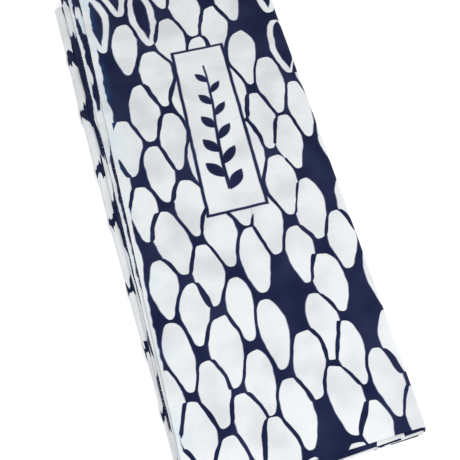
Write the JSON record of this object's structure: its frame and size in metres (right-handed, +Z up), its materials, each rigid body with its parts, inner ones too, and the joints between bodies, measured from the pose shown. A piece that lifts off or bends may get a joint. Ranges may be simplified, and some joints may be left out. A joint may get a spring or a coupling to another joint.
{
  "type": "folded tenugui towel",
  "caption": "Thin cotton hand towel folded in half lengthwise again and again into a flat, slightly fanned stack of layers.",
  "frame": {"origin": "under the middle of the folded towel's box, on the surface it rests on", "axes": "+Y along the folded towel, from the near end to the far end; +X to the folded right edge; +Z up through the layers"},
  "size_m": [0.1502, 0.375, 0.0102],
  "materials": {
    "dyed_cotton": "matt plain-weave cotton, undyed white with deep navy dyed lines"
  },
  "bodies": {
    "root": {"towel_cloth": "dyed_cotton"}
  },
  "joints": []
}
